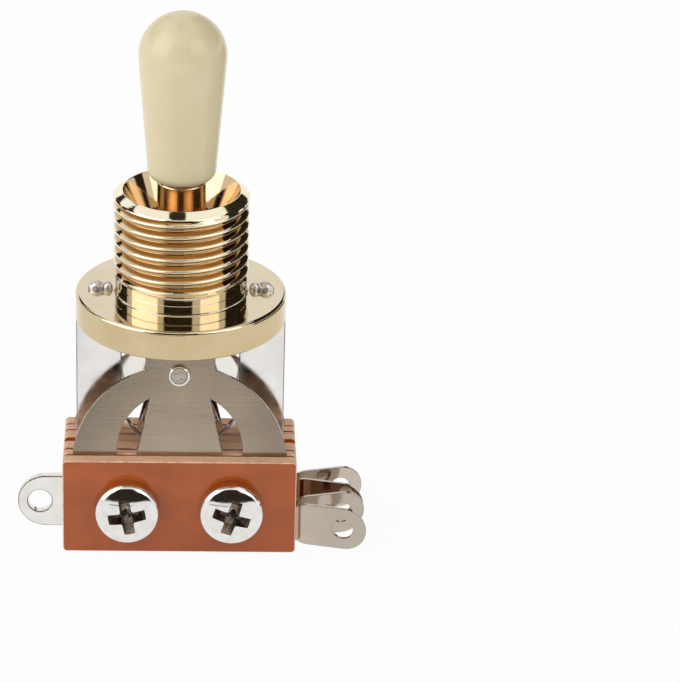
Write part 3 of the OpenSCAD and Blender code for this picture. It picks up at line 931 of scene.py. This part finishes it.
def seen_share(tree, low, high):
    """Output that is high for rays that show the background, and low for those that light things."""
    rays = tree.nodes.new("ShaderNodeLightPath")
    seen = rays.outputs[SEEN_RAYS[0]]
    for kind in SEEN_RAYS[1:]:
        either = tree.nodes.new("ShaderNodeMath")
        either.operation = "MAXIMUM"
        tree.links.new(seen, either.inputs[0])
        tree.links.new(rays.outputs[kind], either.inputs[1])
        seen = either.outputs[0]
    share = tree.nodes.new("ShaderNodeMapRange")
    share.inputs["To Min"].default_value = low
    share.inputs["To Max"].default_value = high
    tree.links.new(seen, share.inputs["Value"])
    return share.outputs["Result"]


def make_world():
    """White room that lights the switch at a plain level."""
    world = bpy.data.worlds.new("studio")
    world.use_nodes = True
    bpy.context.scene.world = world
    tree = world.node_tree
    background = tree.nodes["Background"]
    background.inputs["Color"].default_value = WHITE
    tree.links.new(seen_share(tree, ROOM_LEVEL, 1.0), background.inputs["Strength"])


def make_floor():
    """White table that keeps a soft shadow under the switch."""
    bpy.ops.mesh.primitive_plane_add(size=TABLE_SIZE, location=(0, 0, FLOOR_Z * MM))
    floor = bpy.context.object
    floor.name = "table"
    f = Finish("white_table", Base_Color=WHITE, Roughness=0.9, Specular_IOR_Level=0)
    glow = f.node("ShaderNodeEmission")
    mix = f.node("ShaderNodeMixShader")
    f.link(seen_share(f.tree, 0.0, TABLE_GLOW), mix.inputs[0])
    f.link(f.shader.outputs[0], mix.inputs[1])
    f.link(glow.outputs[0], mix.inputs[2])
    f.link(mix.outputs[0], f.tree.nodes["Material Output"].inputs["Surface"])
    floor.data.materials.append(f.material)


def make_dark_card(name, place, material):
    """Dark studio card, which only reflections see.

    place(u, v) gives its points, with u and v from 0 to 1.
    """
    bm = bmesh.new()
    shares = [i / CARD_STEPS for i in range(CARD_STEPS + 1)]
    grid = [[bm.verts.new(place(u, v)) for v in shares] for u in shares]
    for left, right in zip(grid, grid[1:]):
        for j in range(CARD_STEPS):
            bm.faces.new((left[j], left[j + 1], right[j + 1], right[j]))
    card = new_object(name, bm, (material,))
    card.visible_camera = False
    card.visible_diffuse = False
    card.visible_shadow = False
    card.visible_transmission = False


def standing(azimuths, elevations):
    """Places of a card that is a patch of a sphere round the switch."""
    return lambda u, v: STUDIO_R * direction(along(azimuths, u), along(elevations, v))


def lying(azimuths, radii):
    """Places of a card that lies on the table, as part of a ring round the switch."""
    lift = Vector((0, 0, (FLOOR_Z + CARD_LIFT) * MM))
    return lambda u, v: direction(along(azimuths, u), 0) * along(radii, v) + lift


def overhead(x_span, y_span):
    """Places of a flat card above the switch."""
    return lambda u, v: Vector((along(x_span, u), along(y_span, v), STUDIO_R))


DARK_CARDS = {
    "front_card": standing((-30, 20), (21, 48)),
    "low_front_card": standing((-38, 48), (0, 21)),
    "right_card": standing((84, 144), (8, 50)),
    "right_rear_card": standing((144, 166), (16, 55)),
    "left_card": standing((-150, -108), (16, 28)),
    "upper_left_card": standing((-130, -111), (28, 47)),
    "left_rear_card": standing((-166, -146), (24, 36)),
    "overhead_card": overhead((-0.145, 0.05), (-0.2, 0.36)),
    "right_table_card": lying((80, 140), (0.06, 0.79)),
    "front_table_card": lying((-31, 5), (0.063, 0.085)),
}

make_camera()
make_world()
make_floor()
dark_cloth = Finish("dark_cloth", Base_Color=CARD_COLOUR, Roughness=0.9, Specular_IOR_Level=0).material
for card_name, card_place in DARK_CARDS.items():
    make_dark_card(card_name, card_place, dark_cloth)
softbox("left_softbox", -68, 34, (0.64, 0.64), 1.55)
softbox("right_softbox", 52, 34, (0.42, 0.44), 1.2)

bpy.context.scene.view_settings.view_transform = "Standard"
